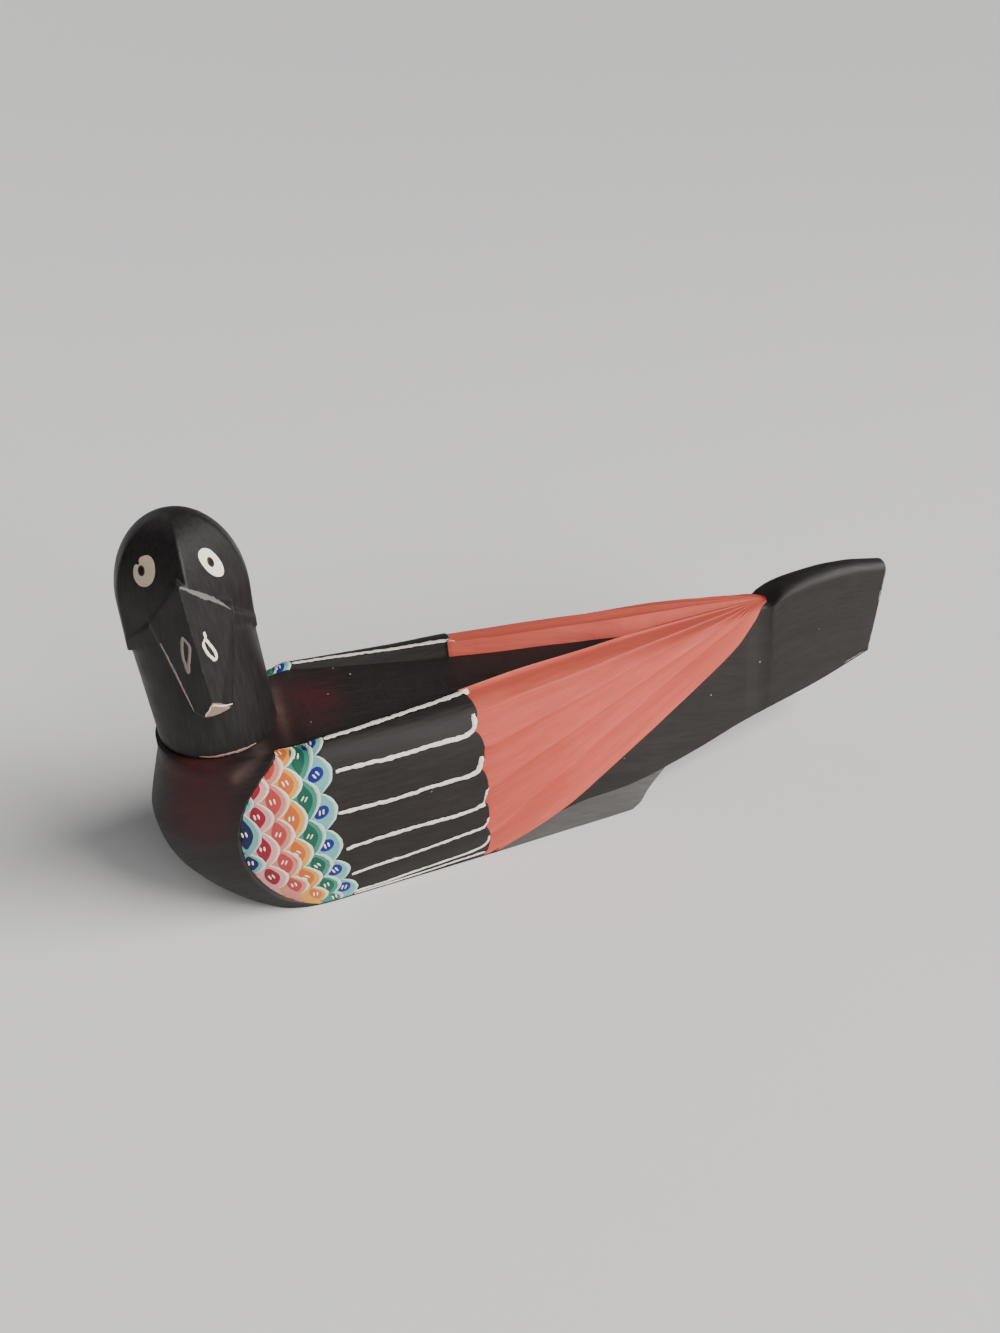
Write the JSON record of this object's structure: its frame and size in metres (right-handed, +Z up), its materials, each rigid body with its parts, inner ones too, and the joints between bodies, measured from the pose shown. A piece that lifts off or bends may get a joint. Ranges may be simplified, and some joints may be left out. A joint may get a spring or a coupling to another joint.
{
  "type": "carved wooden duck ornament",
  "caption": "Long carved and painted wooden duck that stands on a flat base, with a deep upswept tail and its head turned to the side.",
  "frame": {"origin": "middle of the bounding box, at the level of the flat base", "axes": "+X along the body to the tail, +Z up, -Y to the bird's left, where the beak points"},
  "size_m": [0.3001, 0.0672, 0.1425],
  "materials": {
    "painted_body": "satin black paint with coral wings, white feather lines and coloured scales",
    "painted_head": "satin black paint"
  },
  "bodies": {
    "root": {"body": "painted_body", "head_and_neck": "painted_head"}
  },
  "joints": []
}
